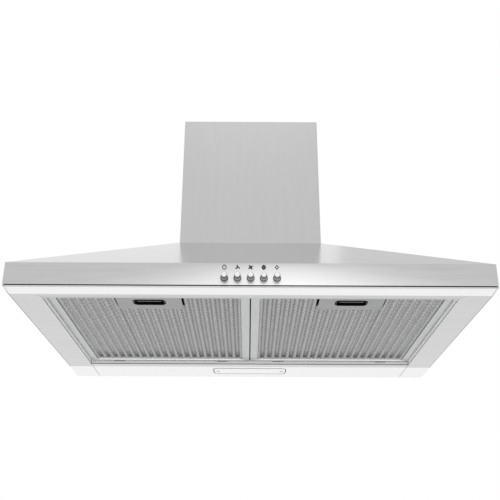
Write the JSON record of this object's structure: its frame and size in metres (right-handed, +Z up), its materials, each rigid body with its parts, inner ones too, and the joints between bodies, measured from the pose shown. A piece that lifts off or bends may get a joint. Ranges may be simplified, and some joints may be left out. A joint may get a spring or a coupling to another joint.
{
  "type": "chimney range hood",
  "caption": "Wall-mounted pyramid chimney cooker hood with push buttons, hinged grease filters, underside lamp, telescoping chimney and a ducted blower.",
  "frame": {"origin": "middle point between the two hanging slots, on the rear (wall) face of the back panel", "axes": "+Z up, +Y towards the wall, -Y towards the cook, X along the hood's width"},
  "size_m": [0.6, 0.4615, 0.396],
  "materials": {
    "stainless": "brushed stainless steel, grain along the width",
    "underside_steel": "satin silver-white coated steel",
    "zinc_steel": "galvanised steel",
    "aluminium": "satin aluminium",
    "aluminium_mesh": "ribbed expanded aluminium mesh",
    "chromed_plastic": "chromed push buttons",
    "black_plastic": "black moulded plastic",
    "dark_plastic": "dark grey moulded plastic",
    "white_plastic": "white moulded plastic",
    "lamp_lens": "white diffusing lens",
    "cable_sheath": "grey cable sheath"
  },
  "bodies": {
    "hood": {"canopy_shell": "stainless", "chimney_cover_lower": "stainless", "back_panel": "zinc_steel", "underside_frame": "underside_steel", "lamp_panel": "underside_steel", "lamp_lens": "lamp_lens", "lamp_housing": "white_plastic", "led_board": "white_plastic", "led_driver": "white_plastic", "capacitor": "white_plastic", "lamp_screw_left": "zinc_steel", "lamp_screw_right": "zinc_steel", "centre_rail": "zinc_steel", "switch_bracket": "zinc_steel", "switch_block": "dark_plastic", "deck_plate": "zinc_steel", "chimney_screw_left": "zinc_steel", "chimney_screw_right": "zinc_steel", "duct_spigot": "dark_plastic", "damper_pin": "zinc_steel", "scroll_half_left": "dark_plastic", "scroll_half_right": "dark_plastic", "motor_plate": "zinc_steel", "motor_body": "zinc_steel", "motor_end_cap": "dark_plastic", "terminal_box": "dark_plastic", "terminal_box_cover": "dark_plastic", "cable_gland": "black_plastic", "switch_cable": "cable_sheath", "lamp_cable": "cable_sheath", "motor_cable": "cable_sheath", "blower_screw_1": "zinc_steel", "blower_screw_2": "zinc_steel", "blower_screw_3": "zinc_steel", "blower_screw_4": "zinc_steel"},
    "filter_left": {"filter_frame_left": "aluminium", "filter_mesh_left": "aluminium_mesh", "handle_plate_left": "aluminium", "filter_grip_left": "black_plastic"},
    "catch_left": {"filter_catch_left": "black_plastic"},
    "flap_left": {"damper_flap_left": "dark_plastic"},
    "filter_right": {"filter_frame_right": "aluminium", "filter_mesh_right": "aluminium_mesh", "handle_plate_right": "aluminium", "filter_grip_right": "black_plastic"},
    "catch_right": {"filter_catch_right": "black_plastic"},
    "flap_right": {"damper_flap_right": "dark_plastic"},
    "button_off": {"button_off": "chromed_plastic"},
    "button_speed_1": {"button_speed_1": "chromed_plastic"},
    "button_speed_2": {"button_speed_2": "chromed_plastic"},
    "button_speed_3": {"button_speed_3": "chromed_plastic"},
    "button_light": {"button_light": "chromed_plastic"},
    "upper_chimney": {"chimney_cover_upper": "stainless", "chimney_bracket": "zinc_steel", "bracket_screw_left": "zinc_steel", "bracket_screw_right": "zinc_steel"},
    "fan_wheel": {"impeller": "dark_plastic", "impeller_nut": "zinc_steel", "motor_shaft": "zinc_steel"}
  },
  "joints": [
    {"name": "filter_left_swing", "type": "hinge", "parent": "hood", "child": "filter_left", "pos_m": [-0.1303, -0.0884, -0.115], "axis": [1, 0, 0], "range_deg": [0, 75]},
    {"name": "filter_right_swing", "type": "hinge", "parent": "hood", "child": "filter_right", "pos_m": [0.1303, -0.0884, -0.115], "axis": [1, 0, 0], "range_deg": [0, 75]},
    {"name": "catch_left_slide", "type": "slide", "parent": "filter_left", "child": "catch_left", "axis": [0, 1, 0], "range_m": [0, 0.005], "stiffness_N_per_m": 400, "springref_m": -0.002},
    {"name": "catch_right_slide", "type": "slide", "parent": "filter_right", "child": "catch_right", "axis": [0, 1, 0], "range_m": [0, 0.005], "stiffness_N_per_m": 400, "springref_m": -0.002},
    {"name": "button_off_press", "type": "slide", "parent": "hood", "child": "button_off", "axis": [0, 1, 0], "range_m": [0, 0.0035], "stiffness_N_per_m": 600, "springref_m": -0.001},
    {"name": "button_speed_1_press", "type": "slide", "parent": "hood", "child": "button_speed_1", "axis": [0, 1, 0], "range_m": [0, 0.0035], "stiffness_N_per_m": 600, "springref_m": -0.001},
    {"name": "button_speed_2_press", "type": "slide", "parent": "hood", "child": "button_speed_2", "axis": [0, 1, 0], "range_m": [0, 0.0035], "stiffness_N_per_m": 600, "springref_m": -0.001},
    {"name": "button_speed_3_press", "type": "slide", "parent": "hood", "child": "button_speed_3", "axis": [0, 1, 0], "range_m": [0, 0.0035], "stiffness_N_per_m": 600, "springref_m": -0.001},
    {"name": "button_light_press", "type": "slide", "parent": "hood", "child": "button_light", "axis": [0, 1, 0], "range_m": [0, 0.0035], "stiffness_N_per_m": 600, "springref_m": -0.001},
    {"name": "flap_left_swing", "type": "hinge", "parent": "hood", "child": "flap_left", "pos_m": [0, -0.105, 0.0595], "axis": [0, 1, 0], "range_deg": [0, 75]},
    {"name": "flap_right_swing", "type": "hinge", "parent": "hood", "child": "flap_right", "pos_m": [0, -0.105, 0.0595], "axis": [0, -1, 0], "range_deg": [0, 75]},
    {"name": "upper_chimney_slide", "type": "slide", "parent": "hood", "child": "upper_chimney", "axis": [0, 0, 1], "range_m": [0, 0.15]},
    {"name": "fan_wheel_spin", "type": "hinge", "parent": "hood", "child": "fan_wheel", "pos_m": [0, -0.097, -0.028], "axis": [1, 0, 0], "continuous": true}
  ]
}
